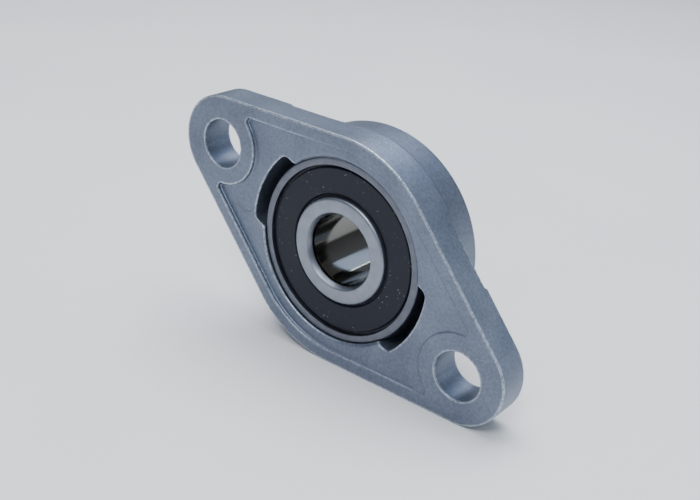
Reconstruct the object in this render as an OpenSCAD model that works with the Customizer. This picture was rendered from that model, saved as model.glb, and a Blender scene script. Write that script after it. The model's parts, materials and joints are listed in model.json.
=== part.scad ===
// Two-bolt flange mount bearing: a die-cast rhombic housing with a spherical seat that holds a
// self-aligning, sealed ball bearing insert with two set screws. Millimetres.
// The origin is the bearing's centre, on the shaft axis. +Y runs along the shaft towards the boss,
// and the flat mounting face looks along -Y. The part stands on one flat side of its flange, +Z up.

/* [Shaft and bearing insert] */
// Shaft diameter that the inner ring takes
bore_d = 8; // [7.8:0.1:8.2]
// Diameter of the outer ring's spherical outside
sphere_d = 22; // [21.9:0.05:22.2]
// Width of the outer ring
outer_ring_w = 7; // [6.8:0.1:7.2]
// Outside diameter of the inner ring
inner_ring_d = 12.1; // [12:0.05:12.2]
// Inner ring's reach from the bearing's centre towards the mounting face
inner_short = 3.6; // [3.5:0.05:3.7]
// Inner ring's reach from the bearing's centre towards the boss
inner_long = 7.4; // [7.3:0.1:8]
// Number of balls
ball_n = 7; // [6:1:7]
// Ball diameter
ball_d = 3.969; // [3.9:0.001:4]
// Diameter of the circle that the ball centres run on
pitch_d = 15; // [14.95:0.05:15.05]
// Raceway groove radius over ball radius
groove_ratio = 1.03; // [1.02:0.005:1.04]

/* [Housing] */
// Distance between the bolt hole centres
hole_spacing = 37; // [36.5:0.5:38]
// Bolt hole diameter
bolt_hole_d = 5.5; // [4.8:0.1:5.6]
// Radius of the ear round each bolt hole
ear_r = 5.5; // [5.3:0.1:6]
// Half of the flange's width, which is also the boss's radius at its root
belly_r = 13.25; // [13.1:0.05:13.6]
// Flange thickness at the ears
flange_t = 4; // [3.9:0.1:4.3]
// Flange thickness between the ears and the boss
web_t = 3.65; // [3.5:0.05:3.8]
// Height of the whole housing from its mounting face
housing_h = 8.5; // [8.4:0.1:9]
// Distance from the mounting face to the bearing's centre
face_to_centre = 4.3; // [4.2:0.05:4.5]
// Taper of the boss, in millimetres of radius from root to rim
boss_draft = 0.35; // [0.2:0.05:0.5]
// Round on the boss's rim
boss_round = 1.1; // [0.8:0.1:1.2]
// Radius of the thick pad round each bolt hole on the boss side
rear_pad_r = 8.6; // [8:0.1:9]

/* [Mounting face recess] */
// Width of the raised rim along the flange's edge
rim_w = 1.5; // [1.3:0.1:1.7]
// Radius of the raised pad round each bolt hole
face_pad_r = 4.75; // [4.6:0.05:4.9]
// Round in the recess's sharp corners
recess_round = 0.55; // [0.4:0.05:0.7]
// Depth of the recess at the middle of the part
recess_depth = 0.3; // [0.25:0.05:0.35]
// Fall of the recess floor along the flange, in degrees
recess_fall_long = 0.59; // [0:0.01:0.65]
// Fall of the recess floor across the flange, in degrees
recess_fall_cross = 0.61; // [0:0.01:0.65]

/* [Loading notches] */
// Radius of a notch's outer wall about the shaft axis
notch_r = 11.85; // [11.4:0.05:11.9]
// Width of a notch
notch_w = 9.5; // [8:0.1:9.6]
// Round in a notch's corners
notch_round = 1.0; // [0.6:0.1:1]
// How far a notch runs past the bearing's centre
notch_past_centre = 0.5; // [0:0.1:1]

/* [Set screws] */
// Screw diameter
screw_d = 3; // [2.9:0.1:3]
// Screw length
screw_len = 3; // [2.8:0.1:3.2]
// Hex socket across its flats
socket_af = 1.5; // [1.4:0.05:1.5]
// Distance of the screws from the bearing's centre along the shaft
screw_y = 5.45; // [5.4:0.05:5.5]
// Angle between the two screws
screw_angle = 120; // [90:5:120]

/* [Hidden] */
$fn = 128;
eps = 0.01;
big = 60;                   // longer than the part in any direction
past = 1;                   // how far a cutter runs past the face that it starts from

// The flange's outline: two ears and the belly, joined by straight sides
half_spacing = hole_spacing / 2;
side_angle = asin((belly_r - ear_r) / half_spacing);
face_z = -face_to_centre;   // heights here are along the shaft, from the bearing's centre

ejector_at = [-13, 3.9];    // along and across the flange
ejector_r = 1.4;
ejector_depth = 0.05;
root_fillet = 0.7;          // between the boss and the flange

// Seat and rings
seat_clearance = 0.03;
seat_r = sphere_d / 2 + seat_clearance;
front_break = 0.84;         // broken edge at the seat's mouth on the mounting face side
rear_break = 0.35;          // and on the boss side
ring_edge = 0.15;           // broken edges of the outer ring
ring_half_w = outer_ring_w / 2;
bore_chamfer = 0.4;         // depth of the bore's chamfers into the ring's wall
bore_lead = 0.7;            // the front chamfer's length along the shaft, longer than it is deep
inner_edge = 0.3;           // broken outer edges of the inner ring
inner_r = inner_ring_d / 2;

// Raceways: each groove is cut round a circle that clears the balls by ball_clearance
ball_r = ball_d / 2;
pitch_r = pitch_d / 2;
ball_clearance = 0.02;
groove_r = ball_r * groove_ratio;
outer_groove_at = pitch_r + ball_r + ball_clearance - groove_r;
inner_groove_at = pitch_r - ball_r - ball_clearance + groove_r;
outer_shoulder_r = 8.75;

// Seals: rubber moulded round a steel core, seated in a step in each side of the outer ring
seal_seat_r = 9.58;
seal_seat_z = 2.5;
seal_clearance = 0.02;      // between the seal's bead and its step
seal_bead_r = seal_seat_r - seal_clearance;
seal_face_r = 9.2;
seal_face_z = 3.2;
seal_low_z = 2.95;
seal_edge = 0.1;            // broken edge of the seal's face
seal_groove = 0.1;          // the grooves beside the bead and beside the lip band
lip_gap = 0.05;
seal_lip_r = inner_r + lip_gap;
seal_band_r = 6.24;         // outer edge of the thin lip band
seal_face_in_r = 6.42;      // inner edge of the seal's face
seal_back_z = 2.56;
core_in_r = 6.95;
core_out_r = 9.1;
core_t = 0.25;

// Cage: two pressed half ribbons, riveted between the balls
cage_in_r = 6.75;
cage_out_r = 8.25;
cage_t = 0.4;
pocket_play = 0.06;         // between a ball and its pocket
pocket_r = ball_r + pocket_play;
rivet_r = 0.35;
rivet_head_r = 0.62;
rivet_head_t = 0.3;
ball_step = 360 / ball_n;

// Set screws
screw_tip_gap = 0.1;        // tip outside the bore's wall at rest
screw_play = 0.04;          // added to the screw's diameter for its hole
screw_hole_d = screw_d + screw_play;
socket_depth = 1.3;
cup_r = 0.8;
cup_depth = 0.35;
screw_chamfer = 0.3;        // at the cup point
screw_top_chamfer = 0.15;   // at the socket's end

zinc = [0.50, 0.53, 0.57];
ground_steel = [0.66, 0.65, 0.66];
bright_steel = [0.80, 0.80, 0.82];
pressed_steel = [0.70, 0.69, 0.66];
black_rubber = [0.13, 0.13, 0.15];
black_oxide = [0.16, 0.16, 0.18];

// Turns a shape drawn with its axis along Z so that the axis lies along +Y
module along_shaft() {
    rotate([-90, 0, 0]) children();
}

// The housing's own axes: its long axis leans so that one flat side of the flange lies level
module standing() {
    rotate([0, side_angle, 0]) along_shaft() children();
}

// Places one copy at each bolt hole
module at_each_hole() {
    for (side = [-1, 1]) translate([side * half_spacing, 0]) children();
}

// The rhombic outline, shrunk all round by inset
module flange_outline(inset = 0) {
    ear = ear_r - inset;
    belly = belly_r - inset;
    ear_x = half_spacing + ear * sin(side_angle);
    ear_y = ear * cos(side_angle);
    belly_x = belly * sin(side_angle);
    belly_y = belly * cos(side_angle);
    circle(r = belly);
    at_each_hole() circle(r = ear);
    polygon([[ear_x, ear_y], [belly_x, belly_y], [-belly_x, belly_y], [-ear_x, ear_y],
             [-ear_x, -ear_y], [-belly_x, -belly_y], [belly_x, -belly_y], [ear_x, -ear_y]]);
}

// The recess's outline: inside the rim, round the pads, with rounded corners
module recess_outline() {
    offset(r = recess_round) offset(delta = -recess_round) difference() {
        flange_outline(rim_w);
        at_each_hole() circle(r = face_pad_r);
    }
}

// Everything on the mounting face's side of the recess's floor, which falls a little towards the
// upper end and the lower side; deeper moves it into the casting
module above_recess_floor(deeper = 0) {
    translate([0, 0, face_z + recess_depth + deeper])
        rotate([recess_fall_cross, recess_fall_long, 0])
            translate([-big / 2, -big / 2, -big]) cube([big, big, big]);
}

module recess_cut() {
    intersection() {
        translate([0, 0, face_z - past]) linear_extrude(height = 2 * past) recess_outline();
        above_recess_floor();
    }
}

// The round mark that an ejector pin left in the recess's floor
module ejector_mark() {
    intersection() {
        translate([ejector_at.x, ejector_at.y, face_z - past])
            cylinder(r = ejector_r, h = 2 * past);
        above_recess_floor(ejector_depth);
    }
}

// One loading notch on the +X side, seen along the shaft
module notch_outline() {
    centre_r = notch_r - notch_round;
    corner_y = notch_w / 2 - notch_round;
    corner_x = sqrt(centre_r * centre_r - corner_y * corner_y);
    reach = 2;              // takes the wedge's far corners past the notch's outer wall
    intersection() {
        circle(r = notch_r);
        polygon([[0, 0], [reach * corner_x, -reach * corner_y], [reach * corner_x, reach * corner_y]]);
    }
    translate([0, -notch_w / 2]) square([corner_x, notch_w]);
    for (side = [-1, 1]) translate([corner_x, side * corner_y]) circle(r = notch_round);
}

// Boss profile: tapered side with a rounded rim
module boss_profile() {
    rim_r = belly_r - boss_draft;
    top = face_z + housing_h;
    polygon([[0, face_z], [belly_r, face_z], [belly_r, face_z + web_t],
             [rim_r, top - boss_round], [rim_r - boss_round, top - boss_round],
             [rim_r - boss_round, top], [0, top]]);
    translate([rim_r - boss_round, top - boss_round]) circle(r = boss_round);
}

// The hollow round between the boss's root and the flange's back. It starts inside the boss, and
// its circle touches the boss's tapered side.
module root_fillet_profile() {
    slope = boss_draft / (housing_h - boss_round - web_t);
    start_r = belly_r - boss_draft;
    centre_r = belly_r + root_fillet - slope * root_fillet;
    translate([0, face_z + web_t]) difference() {
        translate([start_r, -eps]) square([centre_r - start_r, root_fillet + eps]);
        translate([centre_r, root_fillet]) circle(r = root_fillet);
    }
}

// Seat cutter: the sphere, with a broken edge at both mouths
module seat_cut() {
    top = face_z + housing_h;
    front_r = sqrt(seat_r * seat_r - face_z * face_z);
    rear_r = sqrt(seat_r * seat_r - top * top);
    sphere(r = seat_r);
    translate([0, 0, face_z - eps])
        cylinder(r1 = front_r + front_break + eps, r2 = front_r, h = front_break + eps);
    translate([0, 0, top - rear_break])
        cylinder(r1 = rear_r, r2 = rear_r + rear_break + eps, h = rear_break + eps);
}

module housing() {
    color(zinc) standing() difference() {
        union() {
            translate([0, 0, face_z]) linear_extrude(height = web_t) flange_outline();
            translate([0, 0, face_z]) linear_extrude(height = flange_t) intersection() {
                flange_outline();
                at_each_hole() circle(r = rear_pad_r);
            }
            rotate_extrude() boss_profile();
            intersection() {
                rotate_extrude() root_fillet_profile();
                translate([0, 0, face_z]) linear_extrude(height = housing_h) flange_outline();
            }
        }
        seat_cut();
        for (turn = [0, 180]) rotate([0, 0, turn]) translate([0, 0, face_z - past])
            linear_extrude(height = past + face_to_centre + notch_past_centre) notch_outline();
        recess_cut();
        ejector_mark();
        at_each_hole() cylinder(d = bolt_hole_d, h = big, center = true);
    }
}

module outer_ring() {
    edge_r = sqrt(pow(sphere_d / 2, 2) - pow(ring_half_w, 2));
    color(ground_steel) along_shaft() difference() {
        intersection() {
            sphere(d = sphere_d);
            rotate_extrude() polygon([[0, -ring_half_w], [edge_r - ring_edge, -ring_half_w],
                                      [edge_r + ring_edge, -ring_half_w + 2 * ring_edge],
                                      [sphere_d, 0],
                                      [edge_r + ring_edge, ring_half_w - 2 * ring_edge],
                                      [edge_r - ring_edge, ring_half_w], [0, ring_half_w]]);
        }
        cylinder(r = outer_shoulder_r, h = big, center = true);
        for (turn = [0, 180]) rotate([turn, 0, 0])
            translate([0, 0, seal_seat_z]) cylinder(r = seal_seat_r, h = big);
        rotate_extrude() translate([outer_groove_at, 0]) circle(r = groove_r);
    }
}

// A set screw's axis lies along +Z in this frame, from the shaft's axis outwards
module at_screw(side) {
    translate([0, screw_y, 0]) rotate([0, side * screw_angle / 2, 0]) children();
}

module inner_ring() {
    bore_r = bore_d / 2;
    color(ground_steel) difference() {
        along_shaft() difference() {
            rotate_extrude() polygon([[bore_r + bore_chamfer, -inner_short],
                                      [inner_r - inner_edge, -inner_short],
                                      [inner_r, -inner_short + inner_edge],
                                      [inner_r, inner_long - inner_edge],
                                      [inner_r - inner_edge, inner_long],
                                      [bore_r + bore_chamfer, inner_long],
                                      [bore_r, inner_long - bore_chamfer],
                                      [bore_r, -inner_short + bore_lead]]);
            rotate_extrude() translate([inner_groove_at, 0]) circle(r = groove_r);
        }
        for (side = [-1, 1]) at_screw(side) cylinder(d = screw_hole_d, h = big);
    }
}

// Ball number i, with ball 1 straight up
module at_ball(i) {
    rotate([0, (i - 1) * ball_step, 0]) translate([0, 0, pitch_r]) children();
}

module ball(i) {
    color(bright_steel) at_ball(i) sphere(d = ball_d);
}

// One half of the cage, on the side that facing points to: 1 boss side, -1 mounting face side
module cage_half(facing) {
    color(pressed_steel) difference() {
        intersection() {
            along_shaft() difference() {
                cylinder(r = cage_out_r, h = big, center = true);
                cylinder(r = cage_in_r, h = 2 * big, center = true);
            }
            union() {
                along_shaft() translate([0, 0, facing > 0 ? 0 : -cage_t])
                    cylinder(r = pitch_d, h = cage_t);
                for (i = [1:ball_n]) at_ball(i) sphere(r = pocket_r + cage_t);
            }
            translate([-big, facing > 0 ? 0 : -big, -big]) cube([2 * big, big, 2 * big]);
        }
        for (i = [1:ball_n]) at_ball(i) sphere(r = pocket_r);
        for (i = [1:ball_n]) at_ball(i + 0.5) rotate([90, 0, 0])
            cylinder(r = rivet_r, h = big, center = true);
    }
}

// A rivet joins the two halves in the gap after ball number i
module cage_rivet(i) {
    color(pressed_steel) at_ball(i + 0.5) rotate([90, 0, 0]) {
        cylinder(r = rivet_r, h = 2 * (cage_t + rivet_head_t), center = true);
        for (turn = [0, 180]) rotate([turn, 0, 0])
            translate([0, 0, cage_t]) cylinder(r1 = rivet_head_r, r2 = rivet_r, h = rivet_head_t);
    }
}

// One seal, drawn on the boss side; facing -1 turns it to the mounting face side
module seal(facing) {
    color(black_rubber) rotate([0, 0, facing > 0 ? 0 : 180]) along_shaft() rotate_extrude()
        polygon([[seal_lip_r, seal_back_z], [core_in_r, seal_back_z],
                 [core_in_r, seal_back_z + core_t], [core_out_r, seal_back_z + core_t],
                 [core_out_r, seal_seat_z], [seal_bead_r, seal_seat_z],
                 [seal_bead_r, seal_low_z],
                 [seal_face_r + seal_groove, seal_low_z - seal_groove],
                 [seal_face_r, seal_face_z - seal_edge], [seal_face_r - seal_edge, seal_face_z],
                 [seal_face_in_r, seal_face_z],
                 [seal_band_r + seal_groove / 2, seal_low_z - seal_groove],
                 [seal_band_r, seal_low_z], [seal_lip_r, seal_low_z]]);
}

module seal_core(facing) {
    color(pressed_steel) rotate([0, 0, facing > 0 ? 0 : 180]) along_shaft() rotate_extrude()
        translate([core_in_r, seal_back_z]) square([core_out_r - core_in_r, core_t]);
}

module set_screw(side) {
    tip = bore_d / 2 + screw_tip_gap;
    color(black_oxide) at_screw(side) translate([0, 0, tip]) difference() {
        rotate_extrude() polygon([[0, cup_depth], [cup_r, 0], [screw_d / 2 - screw_chamfer, 0],
                                  [screw_d / 2, screw_chamfer],
                                  [screw_d / 2, screw_len - screw_top_chamfer],
                                  [screw_d / 2 - screw_top_chamfer, screw_len], [0, screw_len]]);
        translate([0, 0, screw_len - socket_depth])
            cylinder(d = socket_af / cos(30), h = socket_depth + past, $fn = 6);
    }
}

housing();
outer_ring();
inner_ring();
for (i = [1:ball_n]) {
    ball(i);
    cage_rivet(i);
}
cage_half(-1);  // cage_half_front
cage_half(1);  // cage_half_rear
seal(-1);  // seal_front
seal(1);  // seal_rear
seal_core(-1);  // seal_core_front
seal_core(1);  // seal_core_rear
set_screw(-1);  // set_screw_a
set_screw(1);  // set_screw_b
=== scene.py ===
"""Flange mount bearing: a rhombic zinc casting round a sealed, self-aligning ball bearing insert.
Lengths are in millimetres until MM turns them to metres. The shaft axis is Y, through the origin."""
import json
import math
import bpy
import bmesh
from mathutils import Euler, Matrix, Vector


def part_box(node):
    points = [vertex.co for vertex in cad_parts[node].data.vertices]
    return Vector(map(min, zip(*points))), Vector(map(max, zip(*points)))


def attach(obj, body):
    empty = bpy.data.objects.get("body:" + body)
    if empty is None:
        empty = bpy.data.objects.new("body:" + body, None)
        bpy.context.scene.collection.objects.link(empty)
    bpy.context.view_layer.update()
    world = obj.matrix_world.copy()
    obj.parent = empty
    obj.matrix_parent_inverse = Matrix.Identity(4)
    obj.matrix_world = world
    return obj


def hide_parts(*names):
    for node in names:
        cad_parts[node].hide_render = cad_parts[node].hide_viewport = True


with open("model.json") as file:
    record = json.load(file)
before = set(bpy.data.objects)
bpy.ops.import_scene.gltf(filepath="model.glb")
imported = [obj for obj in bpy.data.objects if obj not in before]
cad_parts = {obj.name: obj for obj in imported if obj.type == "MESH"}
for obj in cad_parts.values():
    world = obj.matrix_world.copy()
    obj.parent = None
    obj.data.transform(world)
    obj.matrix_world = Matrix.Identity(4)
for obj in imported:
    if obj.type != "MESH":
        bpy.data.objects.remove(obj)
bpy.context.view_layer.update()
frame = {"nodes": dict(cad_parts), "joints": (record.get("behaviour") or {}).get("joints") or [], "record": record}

MM = 0.001
NODES = frame["nodes"]
SHAFT = Vector((0, 1, 0))


# ---------------------------------------------------------------- sizes, from the frame

def reach(node, axis):
    """Lowest and highest place of a CAD node along an axis, in mm."""
    low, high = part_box(node)
    return low[axis] / MM, high[axis] / MM


def mount(name):
    return next(m for m in frame["record"]["mounts"] if m["name"] == name)


FLOOR_Z = reach("housing", 2)[0]
RING_Y = reach("outer_ring", 1)[1]
SPHERE_R = 11.0
INNER_FRONT_Y, INNER_REAR_Y = reach("inner_ring", 1)
BORE_R = mount("shaft_bore")["dims"]["r_mm"]


# ---------------------------------------------------------------- camera, floor and light

CAMERA_AT = (61.39, -84.43, 48.39)
CAMERA_TURN = 36.48      # degrees to the right of straight on to the mounting face
CAMERA_DIP = 25.31       # degrees below level
CAMERA_ROLL = 4.74
LENS = 54.08


def camera():
    data = bpy.data.cameras.new("camera")
    data.lens = LENS
    data.clip_start = 1 * MM
    cam = bpy.data.objects.new("camera", data)
    bpy.context.scene.collection.objects.link(cam)
    aim = Euler((math.radians(90 - CAMERA_DIP), 0, math.radians(CAMERA_TURN))).to_matrix()
    roll = Matrix.Rotation(math.radians(CAMERA_ROLL), 3, "Z")
    cam.matrix_world = Matrix.Translation(Vector(CAMERA_AT) * MM) @ (aim @ roll).to_4x4()
    bpy.context.scene.camera = cam


def area_light(name, place, aim, size, power, colour="#FFFFFF"):
    data = bpy.data.lights.new(name, "AREA")
    data.shape = "RECTANGLE"
    data.size, data.size_y = size[0] * MM, size[1] * MM
    data.energy = power
    data.color = linear(colour)[:3]
    light = bpy.data.objects.new(name, data)
    bpy.context.scene.collection.objects.link(light)
    direction = (Vector(aim) - Vector(place)).normalized()
    turn = direction.to_track_quat("-Z", "Y").to_matrix().to_4x4()
    light.matrix_world = Matrix.Translation(Vector(place) * MM) @ turn


def studio():
    """A soft window above the camera, a wide ceiling light, windows behind the part that its bore and
    boss mirror, the pale room behind the camera, and a sky that darkens towards the horizon."""
    world = bpy.data.worlds.new("soft studio")
    bpy.context.scene.world = world
    world.use_nodes = True
    tree = world.node_tree
    ray = add(tree, "ShaderNodeTexCoord").outputs["Generated"]
    parts = add(tree, "ShaderNodeSeparateXYZ", {"Vector": ray})
    sky = ramp(tree, parts.outputs["Z"], [(0.0, "#838385"), (0.25, "#969AA1"), (0.6, "#B5BECB"),
                                          (1.0, "#DCE5EF")])
    back = tree.nodes["Background"]
    tree.links.new(sky, back.inputs["Color"])
    back.inputs["Strength"].default_value = 0.8
    area_light("window", (60, -150, 210), (0, 0, 0), (90, 70), 0.34, "#F4F8FF")
    area_light("ceiling", (-50, 60, 300), (0, 0, 0), (260, 260), 1.55, "#F1F4FB")
    area_light("rear window", (8, 185, 172), (0, 0, 0), (150, 36), 0.056, "#B8D2FA")
    area_light("edge of the rear window", (-70, 182, 158), (0, 0, 0), (7, 36), 0.010, "#F2F7FF")
    area_light("side window", (185, 120, 70), (0, 0, 0), (70, 70), 0.09, "#CFDBEA")
    area_light("room", (130, -190, 160), (0, 0, 0), (130, 100), 0.09, "#DCE9FF")


def floor():
    bm = bmesh.new()
    bmesh.ops.create_grid(bm, x_segments=1, y_segments=1, size=3.0)
    bmesh.ops.translate(bm, verts=bm.verts[:], vec=(0, 0, FLOOR_Z * MM))
    board = piece("floor", bm)
    board.data.materials.append(painted_board())


# ---------------------------------------------------------------- nodes and colours

def linear(hexcode):
    """An sRGB hex colour as linear values."""
    channels = [int(hexcode[i:i + 2], 16) / 255 for i in (1, 3, 5)]
    return tuple(c / 12.92 if c <= 0.04045 else ((c + 0.055) / 1.055) ** 2.4
                 for c in channels) + (1.0,)


def add(tree, kind, links=None, values=None, **settings):
    """One node with its settings, its input values and its incoming links."""
    node = tree.nodes.new(kind)
    for key, value in settings.items():
        setattr(node, key, value)
    for key, value in (values or {}).items():
        node.inputs[key].default_value = value
    for key, source in (links or {}).items():
        tree.links.new(source, node.inputs[key])
    return node


def ramp(tree, source, stops):
    """A colour ramp: stops are (place, hex colour) or (place, grey)."""
    node = add(tree, "ShaderNodeValToRGB", {"Fac": source})
    points = node.color_ramp.elements
    while len(points) < len(stops):
        points.new(0.5)
    for point, (place, colour) in zip(points, stops):
        point.position = place
        point.color = linear(colour) if isinstance(colour, str) else (colour, colour, colour, 1)
    return node.outputs["Color"]


def mix(tree, blend, factor, first, second):
    """The second colour over the first. Each is a socket or a colour; factor is a socket or a number."""
    node = add(tree, "ShaderNodeMix", data_type="RGBA", blend_type=blend)
    for socket, value in ((node.inputs[0], factor), (node.inputs[6], first), (node.inputs[7], second)):
        if isinstance(value, bpy.types.NodeSocket):
            tree.links.new(value, socket)
        else:
            socket.default_value = value
    return node.outputs[2]


def new_material(name, **surface):
    """A principled material with constant values set on its own sockets."""
    made = bpy.data.materials.new(name)
    made.use_nodes = True
    shader = made.node_tree.nodes["Principled BSDF"]
    for key, value in surface.items():
        shader.inputs[key.replace("_", " ")].default_value = value
    return made, made.node_tree, shader


def painted_board():
    """Pale painted board under the part: matt, one even colour with the least unevenness."""
    made, tree, shader = new_material("painted board", Roughness=0.75)
    place = add(tree, "ShaderNodeTexCoord").outputs["Object"]
    cloud = add(tree, "ShaderNodeTexNoise", {"Vector": place}, {"Scale": 1 / (40 * MM)})
    tree.links.new(ramp(tree, cloud.outputs["Fac"], [(0.3, "#DEDEDD"), (0.7, "#E3E2E0")]),
                   shader.inputs["Base Color"])
    return made


# ---------------------------------------------------------------- making pieces

def piece(name, bm):
    """A finished bmesh as an object at the origin."""
    mesh = bpy.data.meshes.new(name)
    bm.to_mesh(mesh)
    bm.free()
    made = bpy.data.objects.new(name, mesh)
    bpy.context.scene.collection.objects.link(made)
    return made


def bake_modifiers(made):
    """Applies a piece's modifiers, so that its mesh is final."""
    bpy.context.view_layer.update()
    solid = made.evaluated_get(bpy.context.evaluated_depsgraph_get())
    mesh = bpy.data.meshes.new_from_object(solid)
    made.modifiers.clear()
    made.data = mesh


def shade(made, crease=35):
    """Smooth shading with flats kept flat: sharp past crease degrees, weighted by face size."""
    mesh = made.data
    mesh.polygons.foreach_set("use_smooth", [True] * len(mesh.polygons))
    mesh.set_sharp_from_angle(angle=math.radians(crease))
    weigh = made.modifiers.new("weighted normals", "WEIGHTED_NORMAL")
    weigh.keep_sharp = True


def stands_for(made, node, body, slot, *finishes):
    for finish in finishes:
        made.data.materials.append(finish)
    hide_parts(node)
    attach(made, body)


def turned(profile, rounds, steps=160):
    """A bmesh turned about the shaft axis. profile is (radius, place along the shaft) corners in
    order; rounds are (size, segments, numbers of the corners that get it), 1 segment for a chamfer."""
    bm = bmesh.new()
    corners = [bm.verts.new((r * MM, y * MM, 0)) for r, y in profile]
    bm.faces.new(corners)
    for size, segments, numbers in rounds:
        bmesh.ops.bevel(bm, geom=[corners[n] for n in numbers], offset=size * MM,
                        affect="VERTICES", segments=segments, profile=0.5, material=-1)
    bmesh.ops.delete(bm, geom=bm.faces[:], context="FACES_ONLY")
    bmesh.ops.spin(bm, geom=bm.verts[:] + bm.edges[:], cent=(0, 0, 0), axis=SHAFT,
                   angle=2 * math.pi, steps=steps, use_merge=True)
    bmesh.ops.remove_doubles(bm, verts=bm.verts[:], dist=0.001 * MM)
    bmesh.ops.recalc_face_normals(bm, faces=bm.faces[:])
    return bm


def cut(made, tool):
    """Cuts tool, a bmesh, out of made."""
    cutter = piece("cutter", tool)
    knife = made.modifiers.new("cut", "BOOLEAN")
    knife.object = cutter
    knife.solver = "EXACT"
    bake_modifiers(made)
    bpy.data.objects.remove(cutter)


# ---------------------------------------------------------------- housing

GRID = 0.095             # grid that the casting's skin is rebuilt on
RELAX_TIMES = 2          # rounds of smoothing that soften the skin's edges
CASTING_TRIANGLES = 190000


def casting():
    """The CAD housing with the soft edges of a tumbled die casting: its skin is rebuilt on a fine
    grid, its edges are relaxed, and what isn't needed on the flats is taken out again."""
    bm = bmesh.new()
    bm.from_mesh(NODES["housing"].data)
    bmesh.ops.remove_doubles(bm, verts=bm.verts[:], dist=0.0005 * MM)
    made = piece("housing_casting", bm)
    skin = made.modifiers.new("skin", "REMESH")
    skin.mode = "VOXEL"
    skin.voxel_size = GRID * MM
    relax = made.modifiers.new("relax", "SMOOTH")
    relax.factor = 0.5
    relax.iterations = RELAX_TIMES
    bake_modifiers(made)
    triangles = sum(len(p.vertices) - 2 for p in made.data.polygons)
    thin = made.modifiers.new("thin", "DECIMATE")
    thin.ratio = min(1.0, CASTING_TRIANGLES / triangles)
    bake_modifiers(made)
    made.data.polygons.foreach_set("use_smooth", [True] * len(made.data.polygons))
    stands_for(made, "housing", "housing", "zinc_casting", die_cast_zinc())


def die_cast_zinc():
    """Die-cast zinc, tumbled: a dull blue grey, lightly clouded, with a fine pebbled grain. Its
    outer edges are rubbed brighter in a broken line, in a bluish white that is partly wear and
    partly a painted highlight. The grain is drawn at 0.3 mm, coarser than the real tumbled finish, so that it
    shows."""
    made, tree, shader = new_material("die cast zinc", Metallic=0.9)
    place = add(tree, "ShaderNodeTexCoord").outputs["Object"]
    cloud = add(tree, "ShaderNodeTexNoise", {"Vector": place}, {"Scale": 1 / (5 * MM), "Detail": 5.0})
    grain = add(tree, "ShaderNodeTexNoise", {"Vector": place}, {"Scale": 1 / (0.3 * MM), "Detail": 4.0})
    tone = ramp(tree, cloud.outputs["Fac"], [(0.3, "#707989"), (0.7, "#808999")])
    speck = ramp(tree, grain.outputs["Fac"], [(0.32, 0.74), (0.68, 1.0)])
    base = mix(tree, "MULTIPLY", 1.0, tone, speck)
    corner = add(tree, "ShaderNodeAmbientOcclusion", None, {"Distance": 0.4 * MM},
                 inside=True, only_local=True, samples=8)
    outer_edge = ramp(tree, corner.outputs["AO"], [(0.60, 1.0), (0.84, 0.0)])
    broken = ramp(tree, grain.outputs["Fac"], [(0.36, 0.3), (0.54, 1.0)])
    rubbed_and_highlit_edges = mix(tree, "MULTIPLY", 1.0, outer_edge, broken)
    # painted highlight: the rubbed outer edges are mixed towards bluish white, partly wear and partly painted
    # highlight
    worn_and_highlit = mix(tree, "MIX", rubbed_and_highlit_edges, base, linear("#DDE6F0"))
    tree.links.new(worn_and_highlit, shader.inputs["Base Color"])
    rough = add(tree, "ShaderNodeMapRange", {"Value": grain.outputs["Fac"]},
                {"To Min": 0.38, "To Max": 0.54})
    smoother = mix(tree, "MIX", rubbed_and_highlit_edges, rough.outputs["Result"], (0.3, 0.3, 0.3, 1))
    tree.links.new(smoother, shader.inputs["Roughness"])
    bump = add(tree, "ShaderNodeBump", {"Height": grain.outputs["Fac"]},
               {"Strength": 0.5, "Distance": 0.05 * MM})
    tree.links.new(bump.outputs["Normal"], shader.inputs["Normal"])
    return made


# ---------------------------------------------------------------- insert

SEAL_SEAT_R = 9.58
SHOULDER_R = 8.75
SEAL_SEAT_Y = 2.5
GROOVE_R = 2.044
BORE_CHAMFER = 0.4       # depth of the bore's chamfers into the ring's wall
BORE_LEAD = 0.7          # length of the front one along the shaft
PITCH_R = 7.5
BALL_R = 1.9845
BALL_PLAY = 0.02
ARC_STEPS = 10           # straight pieces along a raceway groove
RING_STEPS = 192         # steps round the shaft of both rings
SPHERE_STEPS = 24        # straight pieces along the outer ring's spherical outside
RING_CORNER = 0.2        # rounding of the outer ring's outer corners
SEAT_CORNER = 0.08       # rounding at the mouths of its seal seats
INNER_CORNER = 0.36      # rounding of the inner ring's outer corners
CHAMFER_FOOT = 0.3       # rounding where the bore's front chamfer meets the bore
CHAMFER_EDGE = 0.1       # rounding where it meets the ring's face
HONED_WITHIN = 1.02      # faces nearer the shaft axis than this many bore radii are honed
DRILL_MIDDLE, DRILL_LEN = 6.5, 8     # of each screw hole, out from the shaft axis


def groove(centre_r, wall_r, side):
    """Points along a raceway groove cut into a wall, from -Y to +Y. side is +1 for the outer ring."""
    half = math.acos((wall_r - centre_r) * side / GROOVE_R)
    turns = [half * (2 * i / ARC_STEPS - 1) for i in range(ARC_STEPS + 1)]
    return [(centre_r + side * GROOVE_R * math.cos(t), GROOVE_R * math.sin(t)) for t in turns]


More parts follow.
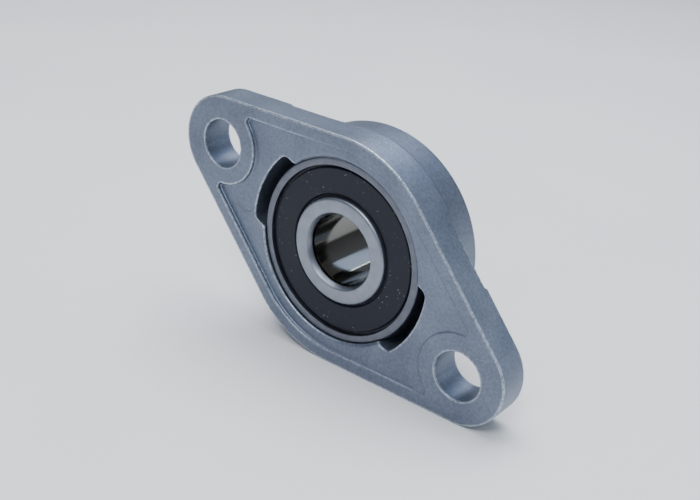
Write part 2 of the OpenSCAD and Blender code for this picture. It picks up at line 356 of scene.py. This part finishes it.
def outer_ring():
    """Ground steel ring: spherical outside, raceway inside, a step for a seal in each side."""
    edge = math.asin(RING_Y / SPHERE_R)
    sphere = [(SPHERE_R * math.cos(a), SPHERE_R * math.sin(a))
              for a in (edge * (1 - 2 * i / SPHERE_STEPS) for i in range(SPHERE_STEPS + 1))]
    track = groove(PITCH_R + BALL_R + BALL_PLAY - GROOVE_R, SHOULDER_R, 1)
    profile = [(SEAL_SEAT_R, -RING_Y), (SEAL_SEAT_R, -SEAL_SEAT_Y), (SHOULDER_R, -SEAL_SEAT_Y)]
    profile += track
    profile += [(SHOULDER_R, SEAL_SEAT_Y), (SEAL_SEAT_R, SEAL_SEAT_Y), (SEAL_SEAT_R, RING_Y)]
    first = len(profile)
    profile += sphere
    last = len(profile) - 1
    rounds = [(RING_CORNER, 4, (first, last)), (SEAT_CORNER, 3, (0, first - 1))]
    bm = turned(profile, rounds, steps=RING_STEPS)
    made = piece("outer_ring_ground", bm)
    shade(made)
    finish = ground_steel("ground steel of the outer ring", "#63666F", "#70737C")
    stands_for(made, "outer_ring", "insert", "ring_steel", finish)


def inner_ring():
    """Ground steel ring with a honed bore; its long end holds the set screws."""
    outside = reach("inner_ring", 0)[1]
    track = groove(PITCH_R - BALL_R - BALL_PLAY + GROOVE_R, outside, -1)
    profile = [(outside, INNER_FRONT_Y)] + track
    profile += [(outside, INNER_REAR_Y), (BORE_R, INNER_REAR_Y), (BORE_R, INNER_FRONT_Y + BORE_LEAD),
                (BORE_R + BORE_CHAMFER, INNER_FRONT_Y)]
    n = len(profile)
    rounds = [(INNER_CORNER, 5, (0, n - 4)), (BORE_CHAMFER, 1, (n - 3,)),
              (CHAMFER_FOOT, 5, (n - 2,)), (CHAMFER_EDGE, 3, (n - 1,))]
    bm = turned(profile, rounds, steps=RING_STEPS)
    made = piece("inner_ring_ground", bm)
    for screw in ("set_screw_a", "set_screw_b"):
        drill = bmesh.new()
        bmesh.ops.create_cone(drill, cap_ends=True, segments=64, radius1=SCREW_HOLE_R * MM,
                              radius2=SCREW_HOLE_R * MM, depth=DRILL_LEN * MM)
        bmesh.ops.translate(drill, verts=drill.verts[:], vec=(0, 0, DRILL_MIDDLE * MM))
        bmesh.ops.transform(drill, matrix=screw_place(screw), verts=drill.verts[:])
        cut(made, drill)
    honed_r = BORE_R * MM * HONED_WITHIN
    for face in made.data.polygons:
        middle = face.center
        if math.hypot(middle.x, middle.z) < honed_r:
            face.material_index = 1
    shade(made)
    finish = ground_steel("ground steel of the inner ring", "#848992", "#8F949D")
    stands_for(made, "inner_ring", "shaft_ring", "ring_steel", finish, honed_steel())


def ground_steel(name, dark, light):
    """Ground bearing steel: satin grey, with fine rings left by the wheel on its faces. The rings
    are drawn 0.12 mm apart, coarser than the real ones, so that they show."""
    made, tree, shader = new_material(name, Metallic=1.0)
    place = add(tree, "ShaderNodeTexCoord").outputs["Object"]
    axes = add(tree, "ShaderNodeSeparateXYZ", {"Vector": place})
    flat = add(tree, "ShaderNodeCombineXYZ", {"X": axes.outputs["X"], "Y": axes.outputs["Z"]})
    radius = add(tree, "ShaderNodeVectorMath", {0: flat.outputs["Vector"]}, operation="LENGTH")
    turn = add(tree, "ShaderNodeCombineXYZ", {"X": radius.outputs["Value"], "Y": axes.outputs["Y"]})
    rings = add(tree, "ShaderNodeTexNoise", {"Vector": turn.outputs["Vector"]},
                {"Scale": 1 / (0.12 * MM), "Detail": 2.0})
    cloud = add(tree, "ShaderNodeTexNoise", {"Vector": place}, {"Scale": 1 / (1.2 * MM), "Detail": 4.0})
    tone = ramp(tree, cloud.outputs["Fac"], [(0.3, dark), (0.7, light)])
    tree.links.new(tone, shader.inputs["Base Color"])
    rough = add(tree, "ShaderNodeMapRange", {"Value": rings.outputs["Fac"]},
                {"To Min": 0.34, "To Max": 0.5})
    tree.links.new(rough.outputs["Result"], shader.inputs["Roughness"])
    bump = add(tree, "ShaderNodeBump", {"Height": rings.outputs["Fac"]},
               {"Strength": 0.25, "Distance": 0.01 * MM})
    tree.links.new(bump.outputs["Normal"], shader.inputs["Normal"])
    return made


def honed_steel():
    """Honed bore under a film of oil: smooth, with faint streaks along the shaft. Its dark colour is painted
    shade, standing for the dark room that the bore mirrors.
    """
    made, tree, shader = new_material("honed bore", Metallic=1.0)
    place = add(tree, "ShaderNodeTexCoord").outputs["Object"]
    along = add(tree, "ShaderNodeMapping", {"Vector": place}, {"Scale": (1, 0.08, 1)})
    streak = add(tree, "ShaderNodeTexNoise", {"Vector": along.outputs["Vector"]},
                 {"Scale": 1 / (0.3 * MM), "Detail": 3.0})
    # painted shade: the bore's steel is drawn dark for the dark surroundings it mirrors
    shader.inputs["Base Color"].default_value = linear("#696763")
    rough = add(tree, "ShaderNodeMapRange", {"Value": streak.outputs["Fac"]},
                {"To Min": 0.07, "To Max": 0.16})
    tree.links.new(rough.outputs["Result"], shader.inputs["Roughness"])
    bump = add(tree, "ShaderNodeBump", {"Height": streak.outputs["Fac"]},
               {"Strength": 0.2, "Distance": 0.01 * MM})
    tree.links.new(bump.outputs["Normal"], shader.inputs["Normal"])
    return made


# ---------------------------------------------------------------- seals

SEAL_BEAD_R = 9.56       # outer bead, snapped into the outer ring's step
SEAL_FACE_R = 9.2        # outer edge of the seal's raised face
SEAL_FACE_IN_R = 6.42    # inner edge of the raised face
SEAL_BAND_R = 6.24       # outer edge of the thin band round the lip
LIP_GAP = 0.05
CORE_IN_R, CORE_OUT_R = 6.95, 9.1
SEAL_BACK_Y, CORE_FRONT_Y = 2.56, 2.81
SEAL_LOW_Y, SEAL_FACE_Y = 2.95, 3.2
SEAL_GROOVE = 0.08       # the grooves beside the bead and beside the lip band
FACE_ROUND, SMALL_ROUND = 0.1, 0.04  # rounding of the raised face's edges and of the others


def seal(node, facing):
    """Moulded rubber seal round its steel core; facing +1 is the boss side."""
    lip_r = reach("inner_ring", 0)[1] + LIP_GAP
    groove_y = SEAL_LOW_Y - SEAL_GROOVE
    profile = [(lip_r, SEAL_BACK_Y), (CORE_IN_R, SEAL_BACK_Y), (CORE_IN_R, CORE_FRONT_Y),
               (CORE_OUT_R, CORE_FRONT_Y), (CORE_OUT_R, SEAL_SEAT_Y), (SEAL_BEAD_R, SEAL_SEAT_Y),
               (SEAL_BEAD_R, SEAL_LOW_Y), (SEAL_FACE_R + SEAL_GROOVE, groove_y),
               (SEAL_FACE_R, SEAL_FACE_Y), (SEAL_FACE_IN_R, SEAL_FACE_Y),
               (SEAL_BAND_R + SEAL_GROOVE / 2, groove_y), (SEAL_BAND_R, SEAL_LOW_Y),
               (lip_r, SEAL_LOW_Y)]
    face_edges, small_edges = (8, 9), (6, 7, 10, 11, 12)
    rounds = [(FACE_ROUND, 4, face_edges), (SMALL_ROUND, 3, small_edges)]
    bm = turned([(r, facing * y) for r, y in profile], rounds)
    made = piece(node + "_rubber", bm)
    shade(made)
    stands_for(made, node, "insert", "seal_rubber", moulded_rubber())


def moulded_rubber():
    """Moulded nitrile rubber: near black with a blue tint that is a painted reflection of the sky, half matt, with
    a little dust on it.
    """
    found = bpy.data.materials.get("moulded nitrile rubber")
    if found:
        return found
    made, tree, shader = new_material("moulded nitrile rubber", Specular_IOR_Level=0.3)
    place = add(tree, "ShaderNodeTexCoord").outputs["Object"]
    cloud = add(tree, "ShaderNodeTexNoise", {"Vector": place}, {"Scale": 1 / (2.5 * MM), "Detail": 3.0})
    grain = add(tree, "ShaderNodeTexNoise", {"Vector": place}, {"Scale": 1 / (0.12 * MM), "Detail": 2.0})
    # the blue in this tone is a painted sky reflection on the black rubber
    tone = ramp(tree, cloud.outputs["Fac"], [(0.3, "#11141E"), (0.7, "#181B28")])
    cells = add(tree, "ShaderNodeTexVoronoi", {"Vector": place}, {"Scale": 1 / (0.45 * MM)})
    dots = ramp(tree, cells.outputs["Distance"], [(0.07, 0.8), (0.16, 0.0)])
    drift = add(tree, "ShaderNodeTexNoise", {"Vector": place}, {"Scale": 1 / (1.8 * MM), "Detail": 2.0})
    patches = ramp(tree, drift.outputs["Fac"], [(0.48, 0.0), (0.64, 1.0)])
    specks = mix(tree, "MULTIPLY", 1.0, dots, patches)
    dusty = mix(tree, "MIX", specks, tone, linear("#A8A9AD"))
    tree.links.new(dusty, shader.inputs["Base Color"])
    rough = add(tree, "ShaderNodeMapRange", {"Value": cloud.outputs["Fac"]},
                {"To Min": 0.42, "To Max": 0.6})
    tree.links.new(rough.outputs["Result"], shader.inputs["Roughness"])
    bump = add(tree, "ShaderNodeBump", {"Height": grain.outputs["Fac"]},
               {"Strength": 0.25, "Distance": 0.02 * MM})
    tree.links.new(bump.outputs["Normal"], shader.inputs["Normal"])
    return made


# ---------------------------------------------------------------- set screws

SCREW_R = 1.5
SCREW_ROOT_R = 1.22
SCREW_PITCH = 0.5
CREST_START, CREST_END = 0.2, 0.26   # the crest's two edges, from the root before it
SCREW_STEPS = 48         # steps in one turn of the thread
SCREW_LEN = 3.0
SCREW_HOLE_R = 1.52
SOCKET_AF = 1.5
SOCKET_DEPTH = 1.3
CUP_R = 0.8
CUP_DEPTH = 0.35
TIP_GAP = 0.1            # from the bore's wall to the screw's tip
TIP_CHAMFER, TOP_CHAMFER = 0.3, 0.15


def screw_place(screw):
    """Turns +Z to the screw's outward direction and moves it along the shaft to the screw."""
    slide = next(j for j in frame["joints"] if j["child"] == "screw_" + screw[-1])
    out = Vector(slide["axis"]).normalized()
    low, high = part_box(screw)
    along = (low[1] + high[1]) / 2
    return Matrix.Translation((0, along, 0)) @ out.to_track_quat("Z", "Y").to_matrix().to_4x4()


def set_screw(screw):
    """Hex socket set screw with its thread cut, a chamfer at each end and a cup point."""
    turns = int(SCREW_LEN / SCREW_PITCH) + 3
    bm = bmesh.new()
    line = []
    for i in range(turns):
        z = (i - 1.5) * SCREW_PITCH
        line += [bm.verts.new((r * MM, 0, (z + dz) * MM))
                 for r, dz in ((SCREW_ROOT_R, 0.0), (SCREW_R, CREST_START), (SCREW_R, CREST_END))]
    edges = [bm.edges.new(pair) for pair in zip(line, line[1:])]
    bmesh.ops.spin(bm, geom=line + edges, cent=(0, 0, 0), axis=(0, 0, 1), angle=2 * math.pi,
                   dvec=(0, 0, SCREW_PITCH * MM / SCREW_STEPS), steps=SCREW_STEPS)
    bmesh.ops.remove_doubles(bm, verts=bm.verts[:], dist=0.002 * MM)
    for height, side in ((0.0, -1), (SCREW_LEN, 1)):
        bmesh.ops.bisect_plane(bm, geom=bm.verts[:] + bm.edges[:] + bm.faces[:],
                               plane_co=(0, 0, height * MM), plane_no=(0, 0, side), clear_outer=True)
    rims = [e for e in bm.edges if e.is_boundary]
    bmesh.ops.holes_fill(bm, edges=rims)
    bmesh.ops.recalc_face_normals(bm, faces=bm.faces[:])
    made = piece(screw + "_threaded", bm)
    for tool in (chamfer_tool(0.0, 1, TIP_CHAMFER), chamfer_tool(SCREW_LEN, -1, TOP_CHAMFER),
                 socket_tool(), cup_tool()):
        cut(made, tool)
    made.data.transform(screw_place(screw) @ Matrix.Translation((0, 0, (BORE_R + TIP_GAP) * MM)))
    shade(made, 30)
    stands_for(made, screw, "screw_" + screw[-1], "screw_steel", black_oxide())


def chamfer_tool(height, inwards, size):
    """A ring that cuts a 45 degree chamfer on one end of the screw."""
    bm = bmesh.new()
    clear = 0.1
    inside, outside = SCREW_R - size, SCREW_R + clear
    corners = [bm.verts.new((r * MM, 0, (height + inwards * z) * MM))
               for r, z in ((inside, -clear), (inside, 0.0), (outside, size + clear), (outside, -clear))]
    bm.faces.new(corners)
    bmesh.ops.delete(bm, geom=bm.faces[:], context="FACES_ONLY")
    bmesh.ops.spin(bm, geom=bm.verts[:] + bm.edges[:], cent=(0, 0, 0), axis=(0, 0, 1),
                   angle=2 * math.pi, steps=48, use_merge=True)
    bmesh.ops.recalc_face_normals(bm, faces=bm.faces[:])
    return bm


def socket_tool():
    bm = bmesh.new()
    radius = SOCKET_AF / 2 / math.cos(math.radians(30))
    bmesh.ops.create_cone(bm, cap_ends=True, segments=6, radius1=radius * MM, radius2=radius * MM,
                          depth=2 * MM)
    bmesh.ops.translate(bm, verts=bm.verts[:], vec=(0, 0, (SCREW_LEN - SOCKET_DEPTH + 1) * MM))
    return bm


def cup_tool():
    bm = bmesh.new()
    bmesh.ops.create_cone(bm, cap_ends=True, segments=48, radius1=CUP_R * MM, radius2=0.05 * MM,
                          depth=CUP_DEPTH * MM)
    bmesh.ops.translate(bm, verts=bm.verts[:], vec=(0, 0, (CUP_DEPTH / 2 - 0.01) * MM))
    return bm


def black_oxide():
    """Black oxide on alloy steel: near black, oily satin."""
    found = bpy.data.materials.get("black oxide steel")
    if found:
        return found
    made, tree, shader = new_material("black oxide steel", Metallic=0.9)
    place = add(tree, "ShaderNodeTexCoord").outputs["Object"]
    cloud = add(tree, "ShaderNodeTexNoise", {"Vector": place}, {"Scale": 1 / (0.6 * MM), "Detail": 3.0})
    tree.links.new(ramp(tree, cloud.outputs["Fac"], [(0.3, "#26262A"), (0.7, "#35353A")]),
                   shader.inputs["Base Color"])
    rough = add(tree, "ShaderNodeMapRange", {"Value": cloud.outputs["Fac"]},
                {"To Min": 0.3, "To Max": 0.45})
    tree.links.new(rough.outputs["Result"], shader.inputs["Roughness"])
    return made


# ---------------------------------------------------------------- inside the bearing

def plain_steel(name, light, dark, low_rough, high_rough, patch):
    """Bearing steel parts inside: patch is the size of their unevenness in mm."""
    made, tree, shader = new_material(name, Metallic=1.0)
    place = add(tree, "ShaderNodeTexCoord").outputs["Object"]
    cloud = add(tree, "ShaderNodeTexNoise", {"Vector": place}, {"Scale": 1 / (patch * MM), "Detail": 3.0})
    tree.links.new(ramp(tree, cloud.outputs["Fac"], [(0.3, dark), (0.7, light)]),
                   shader.inputs["Base Color"])
    rough = add(tree, "ShaderNodeMapRange", {"Value": cloud.outputs["Fac"]},
                {"To Min": low_rough, "To Max": high_rough})
    tree.links.new(rough.outputs["Result"], shader.inputs["Roughness"])
    return made


def inner_works():
    """Balls get true spheres; the cage, rivets and seal cores keep their CAD shape."""
    lapped = plain_steel("lapped ball steel", "#CDCED2", "#C2C3C8", 0.05, 0.09, 1.0)
    pressed = plain_steel("pressed cage steel", "#B3B0AB", "#A09D98", 0.28, 0.42, 0.8)
    washer = plain_steel("pressed core steel", "#A6A5A3", "#959492", 0.3, 0.45, 1.5)
    for node, part in NODES.items():
        if node.startswith("ball_"):
            low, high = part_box(node)
            bm = bmesh.new()
            bmesh.ops.create_uvsphere(bm, u_segments=48, v_segments=24, radius=BALL_R * MM)
            centre = (Vector(low) + Vector(high)) / 2
            bmesh.ops.translate(bm, verts=bm.verts[:], vec=centre)
            made = piece(node + "_lapped", bm)
            made.data.polygons.foreach_set("use_smooth", [True] * len(made.data.polygons))
            stands_for(made, node, node + "_body", "ball_steel", lapped)
        elif node.startswith("cage_"):
            repaint(part, pressed)
        elif node.startswith("seal_core"):
            repaint(part, washer)


def repaint(part, finish):
    part.data.materials.clear()
    part.data.materials.append(finish)


# ---------------------------------------------------------------- the whole

camera()
casting()
outer_ring()
inner_ring()
seal("seal_front", -1)
seal("seal_rear", 1)
set_screw("set_screw_a")
set_screw("set_screw_b")
inner_works()
floor()
studio()
